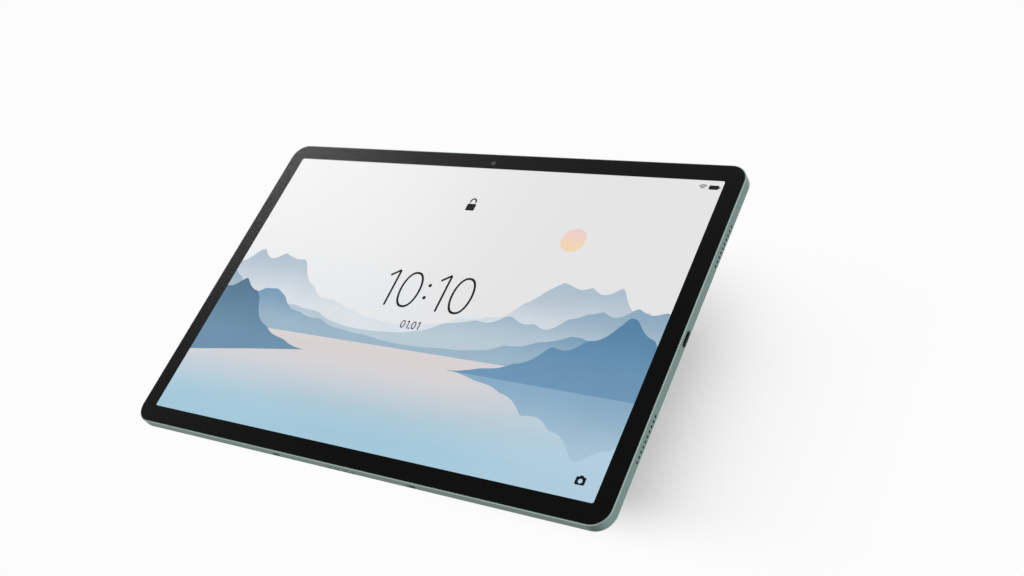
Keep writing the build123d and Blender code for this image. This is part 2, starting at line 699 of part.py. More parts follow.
# ---------------------------------------------------------------- volume rocker
def make_volume_rocker():
    """A key that tilts on a round rib under its middle, with a post over each switch."""
    low = HEIGHT - LIP - FLANGE_T - ROCKER_DROP
    rocker = end_pill(VOLUME_X, VOLUME_L, KEY_SLOT - 2 * KEY_GAP, low, HEIGHT + VOLUME_PROUD)
    rocker = chamfer(rocker.faces().sort_by(Axis.Z)[-1].edges(), 0.15)
    half = VOLUME_L / 2 + FLANGE_REACH
    y0, y1 = EDGE_Y - FLANGE_W / 2, EDGE_Y + FLANGE_W / 2
    rocker += block(VOLUME_X - half, VOLUME_X + half, y0, y1, low, low + FLANGE_T)
    rib_y0, rib_y1 = EDGE_Y - ROCKER_RIB_W / 2, EDGE_Y + ROCKER_RIB_W / 2
    rocker += disc(VOLUME_X, ROCKER_AXIS_Z, ROCKER_RIB_R, rib_y0, rib_y1)
    for x in (VOLUME_X - ROCKER_ARM, VOLUME_X + ROCKER_ARM):
        rocker += block(x - 0.6, x + 0.6, POST_Y0, POST_Y1, low - 0.6, low)
    return rocker


def make_volume_switch_board():
    """Two switches under the ends of the rocker, and the pillar that its rib stands on."""
    top = WALL_Z - KEY_BOARD_SET_BACK
    board = block(VOLUME_X - 12, VOLUME_X + 12, FLOOR_Y, 2.0, top - KEY_BOARD_T, top)
    half = KEY_SWITCH_W / 2
    for x in (VOLUME_X - ROCKER_ARM, VOLUME_X + ROCKER_ARM):
        board += block(x - half, x + half, POST_Y0, 1.4, top, top + KEY_SWITCH_T)
    rest = ROCKER_AXIS_Z - ROCKER_RIB_R - GAP
    return board + block(VOLUME_X - 0.5, VOLUME_X + 0.5, POST_Y0, POST_Y1, top, rest)


# ---------------------------------------------------------------- card tray
CARD_Y0 = EDGE_Y - CARD_T / 2 + 0.2
CARD_Y1 = CARD_Y0 + CARD_T
READER_X0 = CARD_X0 - READER_WALL - 0.5
READER_X1 = CARD_X1 + 0.8
READER_Z0 = CARD_LOW_Z - 0.5
READER_Z1 = WALL_Z - 0.3


def make_card_tray():
    face_z = HEIGHT - GAP - CARD_FACE_T
    tray = end_pill(CARD_X, CARD_FACE_L, CARD_FACE_W, face_z, HEIGHT - GAP)
    tray += block(CARD_X0, CARD_X1, CARD_Y0, CARD_Y1, CARD_LOW_Z, face_z)
    middle = (CARD_X0 + CARD_X1) / 2
    tray -= slab(middle, CARD_LOW_Z + 9.6, 11.2, 15.2, CARD_Y1 - 0.75, CARD_Y1 + 1, 0.5)
    return tray - pin_z(ROD_X, ROD_R + 0.1, face_z - 1, HEIGHT + 1)


def make_card_reader():
    """A sleeve around the tray, two guides for the rod, and a tongue with the lever's pin."""
    y0, y1 = FLOOR_Y, CARD_Y1 + 0.3
    reader = block(READER_X0, READER_X1, y0, y1, READER_Z0, READER_Z1)
    bore_x0, bore_x1 = CARD_X0 - 0.1, CARD_X1 + 0.1
    reader -= block(bore_x0, bore_x1, CARD_Y0 - 0.1, CARD_Y1 + 0.1, READER_Z0 - 1, READER_Z1 + 1)
    for z in (READER_Z0 + 1, READER_Z1 - 4):
        reader += block(READER_X1, ROD_X + 0.8, y0, y1, z, z + 3)
    reader -= pin_z(ROD_X, ROD_R + GAP, READER_Z0 - 1, READER_Z1 + 1)
    reader += block(READER_X0, ROD_X, y0, y0 + 0.25, LEVER_Z - 2.5, READER_Z0)
    return reader + disc(LEVER_X, LEVER_Z, LEVER_PIN_R, y0 + 0.25, 1.0)


def make_tray_eject_rod():
    return pin_z(ROD_X, ROD_R, ROD_LOW_Z, HEIGHT - CARD_FACE_T - 0.45)


def make_tray_eject_lever():
    x0, x1 = LEVER_X - LEVER_TIP - 0.6, ROD_X + 0.5
    y0, y1 = FLOOR_Y + 0.3, 0.7
    lever = block(x0, x1, y0, y1, LEVER_Z - LEVER_H / 2, LEVER_Z + LEVER_H / 2)
    lever += disc(LEVER_X, LEVER_Z, LEVER_HUB_R, y0, y1)
    lever += block(x0, x0 + 1.2, y0, y1, LEVER_Z, LEVER_Z + 1.4)
    lever += block(x1 - 1.0, x1, y0, y1, LEVER_Z, LEVER_Z + 1.3)
    return lever - disc(LEVER_X, LEVER_Z, LEVER_PIN_R + GAP, y0 - 1, y1 + 1)


# ---------------------------------------------------------------- keyboard dock
def contact_points():
    return [i * CONTACT_PITCH for i in (-1, 0, 1)]


def keyboard_contact(x):
    """A flat round pad in the edge, with a thinner tail inside the body."""
    return pin_z(x, CONTACT_R, 0.05, WALL_INSET) + pin_z(x, CONTACT_TAIL_R, WALL_INSET, 4.4)


def make_keyboard_contact_carrier():
    carrier = end_pill(0, CONTACT_L, CONTACT_W, 0.1, WALL_INSET)
    carrier += block(-10.5, 10.5, FLOOR_Y + 0.05, 1.9, WALL_INSET, WALL_INSET + 1)
    for x in contact_points():
        carrier -= keyboard_contact(x)
    return carrier


def make_keyboard_contacts():
    return Compound([keyboard_contact(x) for x in contact_points()])


def make_dock_magnets():
    places = [side * x for side in (-1, 1) for x in DOCK_MAGNET_X]
    half = DOCK_MAGNET_L / 2
    return Compound([block(x - half, x + half, FLOOR_Y, 2.3, 3.0, 7.0) for x in places])


# ---------------------------------------------------------------- all the nodes
NODES = {
    "side_frame": make_side_frame(),
    "mid_plate": make_mid_plate(),
    "rear_cover_lower": make_rear_cover_lower(),
    "rear_cover_upper": make_rear_cover_upper(),
    "rear_cover_adhesive": make_rear_cover_adhesive(),
    "badge_inlay": make_badge_inlay(),
    "camera_island": make_camera_island(),
    "lens_rings": make_lens_rings(),
    "rear_camera_window": make_rear_camera_window(),
    "flash_window": make_flash_window(),
    "flash_led_board": make_flash_led_board(),
    "rear_camera_housing": make_rear_camera_housing(),
    "autofocus_lens_barrel": make_autofocus_lens_barrel(),
    "cover_glass": make_cover_glass(),
    "black_border_print": make_black_border_print(),
    "display_gasket": make_display_gasket(),
    "lcd_panel": make_lcd_panel(),
    "optical_film_stack": make_optical_film_stack(),
    "light_guide_plate": make_light_guide_plate(),
    "backlight_led_strip": make_backlight_led_strip(),
    "backlight_tray": make_backlight_tray(),
    "display_flex": make_display_flex(),
    "front_camera_module": make_front_camera_module(),
    "battery_cell_left": make_battery_cell(-1),
    "battery_cell_right": make_battery_cell(1),
    "battery_board": make_battery_board(),
    "main_board": make_main_board(),
    "main_board_chips": make_main_board_chips(),
    "shield_cans": make_shield_cans(),
    "usb_sub_board": make_usb_sub_board(),
    "sub_board_flex": make_sub_board_flex(),
    "usb_c_shell": make_usb_c_shell(),
    "usb_c_tongue": make_usb_c_tongue(),
    "wifi_antennas": make_wifi_antennas(),
    "microphones": make_microphones(),
    "screws": make_screws(),
    "speaker_magnets": make_speaker_magnets(),
    "speaker_meshes": make_speaker_meshes(),
    "power_button": make_power_button(),
    "fingerprint_window": make_fingerprint_window(),
    "power_switch_board": make_power_switch_board(),
    "volume_rocker": make_volume_rocker(),
    "volume_switch_board": make_volume_switch_board(),
    "card_tray": make_card_tray(),
    "card_reader": make_card_reader(),
    "tray_eject_rod": make_tray_eject_rod(),
    "tray_eject_lever": make_tray_eject_lever(),
    "keyboard_contact_carrier": make_keyboard_contact_carrier(),
    "keyboard_contacts": make_keyboard_contacts(),
    "dock_magnets": make_dock_magnets(),
}
for speaker in SPEAKERS:
    NODES["speaker_box_" + speaker] = make_speaker_box(speaker)
    NODES["speaker_diaphragm_" + speaker] = make_speaker_diaphragm(speaker)

os.makedirs("parts", exist_ok=True)
for node, shape in NODES.items():
    export_step(shape, "parts/" + node + ".step")
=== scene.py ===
import json
import math

import bmesh
import bpy
from mathutils import Matrix, Vector


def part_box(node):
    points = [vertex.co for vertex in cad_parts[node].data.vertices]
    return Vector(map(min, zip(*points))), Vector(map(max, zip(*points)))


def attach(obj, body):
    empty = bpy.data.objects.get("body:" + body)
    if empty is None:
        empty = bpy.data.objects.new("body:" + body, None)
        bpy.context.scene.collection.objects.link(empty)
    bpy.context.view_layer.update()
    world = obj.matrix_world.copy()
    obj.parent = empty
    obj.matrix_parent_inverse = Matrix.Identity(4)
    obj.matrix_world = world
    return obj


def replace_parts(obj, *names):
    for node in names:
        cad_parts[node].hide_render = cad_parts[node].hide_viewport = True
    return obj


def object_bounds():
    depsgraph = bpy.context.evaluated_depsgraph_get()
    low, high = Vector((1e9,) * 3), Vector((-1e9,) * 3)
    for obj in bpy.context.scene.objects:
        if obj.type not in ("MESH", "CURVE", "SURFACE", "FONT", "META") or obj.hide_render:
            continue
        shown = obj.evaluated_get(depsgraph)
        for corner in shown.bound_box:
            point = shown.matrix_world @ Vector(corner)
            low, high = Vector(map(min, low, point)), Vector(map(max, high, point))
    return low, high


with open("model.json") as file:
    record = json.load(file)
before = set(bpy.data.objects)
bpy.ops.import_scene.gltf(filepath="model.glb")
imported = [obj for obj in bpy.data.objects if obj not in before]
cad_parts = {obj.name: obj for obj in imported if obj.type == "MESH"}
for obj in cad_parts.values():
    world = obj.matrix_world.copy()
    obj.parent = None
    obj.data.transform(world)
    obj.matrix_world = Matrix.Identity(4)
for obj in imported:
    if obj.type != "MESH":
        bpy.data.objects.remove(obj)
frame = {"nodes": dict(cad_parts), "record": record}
NODES = frame["nodes"]
CAD_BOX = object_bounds()

# A tablet computer standing upright on its bottom long edge. Metres: +X is right as seen by
# someone who looks at the screen, +Y runs back through the body and +Z runs up to the front camera.
MM = 0.001
BODY = "tablet"
FRAME_LOW, FRAME_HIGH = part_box("side_frame")
MID_Z = (FRAME_LOW.z + FRAME_HIGH.z) / 2
GLASS_LOW, GLASS_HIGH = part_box("cover_glass")
LCD_LOW, LCD_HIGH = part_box("lcd_panel")
LCD_BORDER = 1.0 * MM         # dark edge of the panel around the lit picture
BODY_CORNER = 9.5 * MM        # corner radius of the side frame


# ================================================================ materials
def srgb(red, green, blue):
    """A display colour, 0 to 255 a channel, as the linear colour that shows as it."""
    linear = []
    for value in (red, green, blue):
        c = value / 255
        linear.append(c / 12.92 if c <= 0.04045 else ((c + 0.055) / 1.055) ** 2.4)
    return (*linear, 1.0)


def tinted(colour, factor):
    return (colour[0] * factor, colour[1] * factor, colour[2] * factor, 1.0)


BLACK = (0.0, 0.0, 0.0, 1.0)
WHITE = (1.0, 1.0, 1.0, 1.0)
METAL_GRAIN = 5200            # noise scales, per metre
METAL_PATCHES = 14
PLASTIC_GRAIN = 1800
SHEET_LINES = 2400
BOARD_TRACKS = 260
GRAIN_DEPTH = 0.02 * MM       # relief of the fine grain in metal and plastic


class Graph:
    """A node tree, with short calls that add a node, fill a socket or do a sum."""

    def __init__(self, tree):
        self.nodes = tree.nodes
        self.links = tree.links

    def join(self, value, socket):
        """Links another node's output to the socket, or sets it to a plain value."""
        if isinstance(value, bpy.types.NodeSocket):
            self.links.new(value, socket)
        else:
            socket.default_value = value

    def add(self, kind, **inputs):
        """A new node, with its inputs filled by name; a space in a name is written as _."""
        node = self.nodes.new("ShaderNode" + kind)
        for name, value in inputs.items():
            self.join(value, node.inputs[name.replace("_", " ")])
        return node

    def math(self, operation, a, b=0.0):
        node = self.add("Math")
        node.operation = operation
        self.join(a, node.inputs[0])
        self.join(b, node.inputs[1])
        return node.outputs[0]


class Shader(Graph):
    """A material with one Principled shader, and short calls for the nodes that feed it."""

    def __init__(self, name, **values):
        self.material = bpy.data.materials.new(name)
        self.material.use_nodes = True
        super().__init__(self.material.node_tree)
        self.bsdf = self.nodes["Principled BSDF"]
        texture = self.add("TexCoord")
        self.place = texture.outputs["Object"]
        self.normal = texture.outputs["Normal"]
        for key, value in values.items():
            self.to(key, value)

    def to(self, name, value):
        """Fills one of the shader's own sockets."""
        self.join(value, self.bsdf.inputs[name.replace("_", " ")])

    def moved(self, scale=(1, 1, 1), turn=(0, 0, 0)):
        """The place on the object, stretched and turned."""
        return self.add("Mapping", Vector=self.place, Scale=scale, Rotation=turn).outputs[0]

    def noise(self, scale, detail=3.0, stretch=(1, 1, 1)):
        node = self.add("TexNoise", Vector=self.moved(stretch), Scale=scale, Detail=detail)
        return node.outputs["Fac"]

    def axis(self, vector, letter):
        return self.add("SeparateXYZ", Vector=vector).outputs[letter]

    def fit(self, value, low, high, to_low=0.0, to_high=1.0):
        """value from low..high to to_low..to_high, held at the ends, with a soft step."""
        node = self.add("MapRange")
        node.interpolation_type = "SMOOTHSTEP"
        for number, socket in zip((value, low, high, to_low, to_high), node.inputs):
            self.join(number, socket)
        return node.outputs[0]

    def between(self, value, start, full, full_end, end):
        """1 from full to full_end, falling to 0 at start and at end."""
        return self.math("MULTIPLY", self.fit(value, start, full), self.fit(value, end, full_end))

    def mix(self, factor, a, b, blend="MIX"):
        node = self.add("Mix")
        node.data_type = "RGBA"
        node.blend_type = blend
        self.join(factor, node.inputs["Factor"])
        self.join(a, node.inputs[6])      # inputs 6 and 7 and output 2 are the coloured ones
        self.join(b, node.inputs[7])
        return node.outputs[2]

    def shaded(self, colour, level):
        """colour times a grey level."""
        return self.mix(1.0, colour, self.mix(level, BLACK, WHITE), "MULTIPLY")

    def distance(self, x, z):
        """Distance from a line along Y through (x, z)."""
        dx = self.math("SUBTRACT", self.axis(self.place, "X"), x)
        dz = self.math("SUBTRACT", self.axis(self.place, "Z"), z)
        square = self.math("ADD", self.math("MULTIPLY", dx, dx), self.math("MULTIPLY", dz, dz))
        return self.math("SQRT", square)

    def bump(self, height, strength, depth=GRAIN_DEPTH):
        self.to("Normal", self.add("Bump", Strength=strength, Distance=depth, Height=height).outputs[0])


MINT = (0.255, 0.375, 0.345, 1.0)
# BRIGHT_MINT is the contacts' own colour, and the painted highlight on cut edges
BRIGHT_MINT = (0.44, 0.575, 0.54, 1.0)
COVER_MINT = (0.24, 0.36, 0.362, 1.0)
BAND_MINT = (0.215, 0.325, 0.32, 1.0)
ISLAND_MINT = (0.33, 0.455, 0.45, 1.0)
RING_MINT = (0.50, 0.63, 0.61, 1.0)
# Edges picked by the Y part of the surface normal, where each starts, is full, and ends. The front
# chamfer is a polished cut with a painted highlight on it; the back round gets a painted highlight only.
FRONT_CHAMFER_AND_HIGHLIGHT = (-0.55, -0.66, -0.76, -0.90)
BACK_ROUND_HIGHLIGHT = (0.08, 0.35, 0.85, 0.97)
CUT_ROUGH = 0.2


def anodised(name, colour, roughness, metallic, edge=None):
    """Bead-blasted, anodised aluminium with a fine grain; edge is a lighter colour painted on the front
    chamfer and the rounded back edge as a painted highlight, on the chamfer together with its polished cut.
    """
    shader = Shader(name, Metallic=metallic)
    fine = shader.noise(METAL_GRAIN, 4)
    broad = shader.noise(METAL_PATCHES, 2)
    base = shader.mix(fine, tinted(colour, 0.95), tinted(colour, 1.05))
    base = shader.shaded(base, shader.fit(broad, 0.3, 0.7, 0.985, 1.015))
    rough = shader.fit(fine, 0.25, 0.75, roughness - 0.04, roughness + 0.04)
    if edge:
        # painted highlight: the edge colour on the front chamfer and back round; the lower roughness there
        # is the polished cut
        slope = shader.axis(shader.normal, "Y")
        front, back = shader.between(slope, *FRONT_CHAMFER_AND_HIGHLIGHT), shader.between(slope, *BACK_ROUND_HIGHLIGHT)
        cut_and_highlight = shader.math("MAXIMUM", front, back)
        base = shader.mix(cut_and_highlight, base, edge)
        rough = shader.fit(cut_and_highlight, 0.0, 1.0, rough, CUT_ROUGH)
    shader.to("Base Color", base)
    shader.to("Roughness", rough)
    shader.bump(fine, 0.1)
    return shader.material


def moulded(name, colour, roughness=0.55, metallic=0.0):
    """Moulded, plated or printed stock with a faint mottle."""
    shader = Shader(name, Metallic=metallic)
    grain = shader.noise(PLASTIC_GRAIN)
    shader.to("Base Color", shader.mix(grain, tinted(colour, 0.85), tinted(colour, 1.15)))
    shader.to("Roughness", shader.fit(grain, 0.3, 0.7, roughness - 0.06, roughness + 0.06))
    shader.bump(grain, 0.15)
    return shader.material


def brushed(name, colour, roughness=0.35):
    """Rolled sheet with fine lines along X."""
    shader = Shader(name, Metallic=1.0)
    lines = shader.noise(SHEET_LINES, stretch=(0.03, 1, 1))
    shader.to("Base Color", shader.mix(lines, tinted(colour, 0.85), tinted(colour, 1.12)))
    shader.to("Roughness", shader.fit(lines, 0.3, 0.7, roughness - 0.08, roughness + 0.08))
    shader.bump(lines, 0.1)
    return shader.material


def woven(name, colour, pitch):
    """Fine cloth or wire mesh in the XZ plane and up the sides."""
    shader = Shader(name, Roughness=0.7)
    place = shader.moved(turn=(0, 0, math.radians(45)))
    weave = shader.add("TexVoronoi", Vector=place, Scale=1 / pitch, Randomness=0.0)
    gap = shader.fit(weave.outputs["Distance"], 0.2, 0.5)
    shader.to("Base Color", shader.mix(gap, tinted(colour, 2.0), tinted(colour, 0.4)))
    shader.bump(gap, 0.5, 0.05 * MM)
    return shader.material


def solder_mask(name):
    """Green circuit board with copper tracks under the mask."""
    shader = Shader(name, Roughness=0.35)
    place = shader.moved(turn=(math.radians(90), 0, 0))
    tracks = shader.add("TexBrick", Vector=place, Scale=BOARD_TRACKS, Mortar_Size=0.03,
                        Color1=(0.006, 0.045, 0.026, 1), Color2=(0.009, 0.060, 0.035, 1),
                        Mortar=(0.03, 0.13, 0.06, 1))
    shader.to("Base Color", tracks.outputs["Color"])
    return shader.material


GLASS_GLOSS = 0.25            # the coated cover glass mirrors less than plain glass
GLASS_ROUGH = 0.05


def black_ink():
    """The black printed border, seen through the glass."""
    shader = Shader("black_ink", Roughness=GLASS_ROUGH, Specular_IOR_Level=GLASS_GLOSS)
    shader.to("Base Color", shader.mix(shader.noise(600, 2), srgb(21, 21, 21), srgb(24, 24, 24)))
    return shader.material


def glass(name, tint, alpha):
    """Thin clear glass: mostly see-through, with a clean reflection."""
    shader = Shader(name, Roughness=0.02, IOR=1.5, Alpha=alpha)
    shader.to("Base Color", shader.mix(shader.noise(300, 2), tinted(tint, 0.95), tinted(tint, 1.05)))
    return shader.material


def paint(node, material):
    """Gives a carried-over CAD node its material."""
    mesh = NODES[node].data
    mesh.materials.clear()
    mesh.materials.append(material)


def paint_nodes():
    black = moulded("black_moulding", (0.012, 0.012, 0.013, 1), 0.45)
    pearl = moulded("pearl_film", (0.75, 0.77, 0.80, 1), 0.3)
    white = moulded("white_plastic", (0.70, 0.70, 0.66, 1), 0.4)
    by_slot = {
        "frame_metal": anodised("frame_metal", MINT, 0.30, 0.8, BRIGHT_MINT),
        "cover_metal": anodised("cover_metal", COVER_MINT, 0.46, 0.55),
        "cover_band": anodised("cover_band", BAND_MINT, 0.26, 0.6),
        "bright_metal": anodised("island_metal", ISLAND_MINT, 0.27, 0.75, BRIGHT_MINT),
        "badge": anodised("badge_metal", ISLAND_MINT, 0.2, 0.85),
        "camera_glass": black,
        "flash_diffuser": white,
        "cover_glass": black,
        "black_print": black_ink(),
        "adhesive": moulded("foam_tape", (0.02, 0.02, 0.02, 1), 0.9),
        "lcd": black,
        "optical_film": pearl,
        "light_guide": pearl,
        "led_white": white,
        "inner_metal": brushed("bare_aluminium", (0.62, 0.63, 0.64, 1)),
        "steel": brushed("steel", (0.55, 0.55, 0.56, 1), 0.28),
        "battery_foil": moulded("battery_foil", (0.03, 0.03, 0.034, 1), 0.4, 0.5),
        "circuit_board": solder_mask("solder_mask"),
        "chip_black": moulded("chip_resin", (0.018, 0.018, 0.019, 1), 0.5),
        "flex_circuit": moulded("polyimide", (0.36, 0.15, 0.03, 1), 0.35),
        "black_plastic": black,
        "cone": moulded("cone_film", (0.03, 0.03, 0.032, 1), 0.35),
        "magnet": moulded("nickel", (0.45, 0.44, 0.42, 1), 0.3, 1.0),
        "mesh": woven("dust_mesh", (0.012, 0.012, 0.012, 1), 0.25 * MM),
        "gold": moulded("gold_plate", (0.75, 0.52, 0.20, 1), 0.25, 1.0),
        "sensor_window": moulded("sensor_window", (0.045, 0.068, 0.064, 1), 0.2, 0.3),
    }
    by_node = {
        "lens_rings": anodised("ring_metal", RING_MINT, 0.24, 0.7, BRIGHT_MINT),
        "keyboard_contact_carrier": moulded("carrier_moulding", (0.17, 0.25, 0.23, 1), 0.5),
        "keyboard_contacts": anodised("contact_metal", BRIGHT_MINT, 0.3, 0.8),
    }
    for entry in frame["record"]["subparts"]:
        paint(entry["node"], by_node.get(entry["node"], by_slot[entry["material_slot"]]))


# ================================================================ shapes
TURN_STEPS = 96               # points round a turned piece


class Form:
    """Vertices and faces of closed solids, gathered into one mesh. Outlines lie in XZ."""

    def __init__(self):
        self.vertices = []
        self.faces = []

    def loft(self, rings):
        """A solid through rings of (y, outline), capped at both ends."""
        start, count = len(self.vertices), len(rings[0][1])
        self.vertices += [(x, y, z) for y, outline in rings for x, z in outline]
        end = len(self.vertices)
        self.faces += [list(range(start, start + count)), list(range(end - count, end))]
        for low in range(start, end - count, count):
            for i in range(count):
                j = (i + 1) % count
                self.faces.append((low + i, low + j, low + count + j, low + count + i))
        return self

    def plate(self, outline, y0, y1):
        return self.loft([(y0, outline), (y1, outline)])

    def loop(self, corners):
        """A closed tube whose cross-section corners each run round as (y, outline)."""
        start, count, sides = len(self.vertices), len(corners[0][1]), len(corners)
        self.vertices += [(x, y, z) for y, outline in corners for x, z in outline]
        for side in range(sides):
            here = start + side * count
            there = start + (side + 1) % sides * count
            for i in range(count):
                j = (i + 1) % count
                self.faces.append((here + i, here + j, there + j, there + i))
        return self

    def ring(self, outer, inner, y0, y1):
        """A plate with a hole; the two outlines have the same number of points."""
        return self.loop([(y0, outer), (y1, outer), (y1, inner), (y0, inner)])

    def turned(self, cx, cz, profile):
        """A ring turned about Y from a closed profile of (radius, y)."""
        return self.loop([(y, circle(cx, cz, r, TURN_STEPS)) for r, y in profile])

    def dome(self, cx, cz, profile, steps=TURN_STEPS):
        """A solid turned about Y from (radius, y), from one end cap to the other."""
        return self.loft([(y, circle(cx, cz, r, steps)) for r, y in profile])

    def mesh(self, name, smooth_below=None):
        mesh = bpy.data.meshes.new(name)
        mesh.from_pydata(self.vertices, [], self.faces)
        build = bmesh.new()
        build.from_mesh(mesh)
        bmesh.ops.recalc_face_normals(build, faces=build.faces)
        build.to_mesh(mesh)
        build.free()
        if smooth_below:
            mesh.shade_smooth()
            mesh.set_sharp_from_angle(angle=math.radians(smooth_below))
        return mesh


def piece(name, form, material, smooth_below=None):
    """A new piece of the tablet's body."""
    mesh = form.mesh(name, smooth_below)
    mesh.materials.append(material)
    item = bpy.data.objects.new(name, mesh)
    bpy.context.scene.collection.objects.link(item)
    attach(item, BODY)
    return item


def arc(cx, cz, radius, start, end, steps=12, squash=1.0):
    """Points round part of a circle, in degrees; squash scales its height."""
    turns = [math.radians(start + (end - start) * i / steps) for i in range(steps + 1)]
    return [(cx + radius * math.cos(t), cz + squash * radius * math.sin(t)) for t in turns]


def circle(cx, cz, radius, steps=64):
    return arc(cx, cz, radius, 0, 360 * (steps - 1) / steps, steps - 1)


def rounded(cx, cz, width, height, radius, steps=12):
    """A rounded rectangle, anticlockwise from its upper right corner."""
    points = []
    for sx, sz, start in ((1, 1, 0), (-1, 1, 90), (-1, -1, 180), (1, -1, 270)):
        x, z = cx + sx * (width / 2 - radius), cz + sz * (height / 2 - radius)
        points += arc(x, z, radius, start, start + 90, steps)
    return points


def stroke(points, width):
    """The outline of a line of even width through points."""
    left, right = [], []
    for i, (x, z) in enumerate(points):
        x0, z0 = points[max(0, i - 1)]
        x1, z1 = points[min(len(points) - 1, i + 1)]
        length = math.hypot(x1 - x0, z1 - z0)
        nx, nz = -(z1 - z0) / length * width / 2, (x1 - x0) / length * width / 2
        left.append((x + nx, z + nz))
        right.append((x - nx, z - nz))
    return left + right[::-1]


# ================================================================ the lit picture
# A plain picture of misty hills round a lake, made by formula, in millimetres across the
# screen. It is built up in thin layers, each nearer the front. Glass makes what lies behind it
# look nearer than it is, so the layers and the black border lie just under its front face.
PRINT_DEPTH = 0.12 * MM       # about how far the border and the nearest layers lie under it
LAYER_STEP = 0.02 * MM
LAYER_T = 0.012 * MM
LAYERS = 12
SCREEN_W = (LCD_HIGH.x - LCD_LOW.x - 2 * LCD_BORDER) / MM
SCREEN_H = (LCD_HIGH.z - LCD_LOW.z - 2 * LCD_BORDER) / MM
BLEED = 0.6                   # the picture runs this far under the black border
LEFT, RIGHT = -SCREEN_W / 2 - BLEED, SCREEN_W / 2 + BLEED
FOOT, TOP = MID_Z / MM - SCREEN_H / 2 - BLEED, MID_Z / MM + SCREEN_H / 2 + BLEED
HORIZON = FOOT + SCREEN_H / 3
SUN_X, SUN_Z, SUN_R = 70, 140, 7.0
HILL_STEP = 1.2
CREST_SOFTNESS = 0.012
HILL_WAVES = ((0.58, 29, 1.0), (0.29, 12.5, 2.3), (0.13, 5.3, 4.1))   # share, breadth, seed factor
HILL_RANGES = (               # name, what skyline takes after x0 and x1, mist colour, crest colour
    ("far_hills", (80, 52, -12, 120, 0.35), (224, 231, 237), (178, 196, 211)),
    ("middle_hills", (74, 40, -28, 130, 2.14), (190, 208, 219), (146, 174, 196)),
    ("near_hills", (69, 34, 2, 150, 3.42), (160, 187, 205), (120, 158, 187)),
)


def lit(name, low, high, z0, z1, side=None, streaks=(1, 1, 1), wash=0.02):
    """Light from the display: low at height z0 to high at z1; side is (colour, x0, x1)."""
    shader = Shader(name, Roughness=GLASS_ROUGH, Specular_IOR_Level=GLASS_GLOSS, Emission_Strength=1.0)
    tone = shader.mix(shader.fit(shader.axis(shader.place, "Z"), z0 * MM, z1 * MM), low, high)
    if side:
        across = shader.fit(shader.axis(shader.place, "X"), side[1] * MM, side[2] * MM)
        tone = shader.mix(across, tone, side[0])
    paper = shader.fit(shader.noise(45, stretch=streaks), 0.3, 0.7, 1 - 2 * wash, 1.0)
    shader.to("Base Color", (0.004, 0.004, 0.005, 1))
    shader.to("Emission Color", shader.shaded(tone, paper))
    return shader.material


def picture(name, layer, material, plates=(), rings=()):
    """One layer of the picture: flat plates, and rings of (outer, inner) outlines."""
    y0 = GLASS_LOW.y + PRINT_DEPTH + (LAYERS - layer) * LAYER_STEP
    form = Form()
    for outline in plates:
        form.plate(scaled(outline), y0, y0 + LAYER_T)
    for outer, inner in rings:
        form.ring(scaled(outer), scaled(inner), y0, y0 + LAYER_T)
    return piece("picture_" + name, form, material)


def scaled(outline):
    return [(x * MM, z * MM) for x, z in outline]


def crest(turn):
    """One row of hills: about 0.9 at each softened crest and about 0 in each dip."""
    return 1 - math.sqrt(math.sin(turn) ** 2 + CREST_SOFTNESS)


def skyline(x0, x1, foot, rise, valley, reach, seed):
    """Hills that grow from height foot at x = valley by up to rise, reach millimetres away."""
    line = []
    steps = round(abs(x1 - x0) / HILL_STEP)
    for i in range(steps + 1):
        x = x0 + (x1 - x0) * i / steps
        away = min(1.0, abs(x - valley) / reach)
        grown = away * away * (3 - 2 * away)
        rough = sum(share * crest(x / breadth + k * seed) for share, breadth, k in HILL_WAVES)
        line.append((x, foot + rise * grown * (0.4 + 0.6 * rough)))
    return line


def range_of_hills(name, layer, line, low, high, base=None):
    """A hillside under a skyline: high at its crests, fading to low in the mist at its foot."""
    top = max(z for x, z in line)
    foot = min(z for x, z in line)
    base = base or [(line[-1][0], HORIZON - 4), (line[0][0], HORIZON - 4)]
    picture(name, layer, lit("lit_" + name, low, high, foot, top), [line + base])


def make_landscape():
    page = [(LEFT, FOOT), (RIGHT, FOOT), (RIGHT, TOP), (LEFT, TOP)]
    sky_light = lit("lit_sky", srgb(234, 236, 239), srgb(242, 242, 242), 70, 140,
                    (srgb(233, 233, 234), -70, 60), wash=0.0)
    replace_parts(picture("sky", 0, sky_light, [page]), "lcd_panel")
    sun_light = lit("lit_sun", srgb(246, 219, 178), srgb(242, 210, 206), SUN_Z - 6, SUN_Z + 6, wash=0.0)
    picture("sun", 1, sun_light, [circle(SUN_X, SUN_Z, SUN_R)])
    for layer, (name, shape, mist, crests) in enumerate(HILL_RANGES, 2):
        range_of_hills(name, layer, skyline(LEFT, RIGHT, *shape), srgb(*mist), srgb(*crests))
    water = [(LEFT, FOOT), (RIGHT, FOOT), (RIGHT, HORIZON), (LEFT, HORIZON)]
    water_light = lit("lit_water", srgb(170, 208, 226), srgb(224, 217, 218), 16, 62,
                      (srgb(184, 212, 229), 30, 160), (0.12, 1, 1), 0.03)
    picture("water", 5, water_light, [water])
    shore, west, east = HORIZON - 7, 34, -58      # where the headlands end in the water
    headland = skyline(west, RIGHT, shore, 46, west, 80, 5.3)
    mirrored = [(x, shore - 0.8 * (z - shore)) for x, z in headland]
    mirror_light = lit("lit_reflection", srgb(176, 204, 221), srgb(140, 176, 203), shore - 36, shore)
    picture("reflection", 6, mirror_light, [mirrored + [(RIGHT, shore), (west, shore)]])
    range_of_hills("right_headland", 7, headland, srgb(112, 154, 187), srgb(88, 134, 170),
                   [(RIGHT, shore - 1), (west, shore - 0.2)])
    range_of_hills("left_headland", 8, skyline(east, LEFT, HORIZON - 9, 50, east, 78, 1.16),
                   srgb(110, 148, 175), srgb(82, 120, 148), [(LEFT, HORIZON - 20), (-96, HORIZON - 14)])


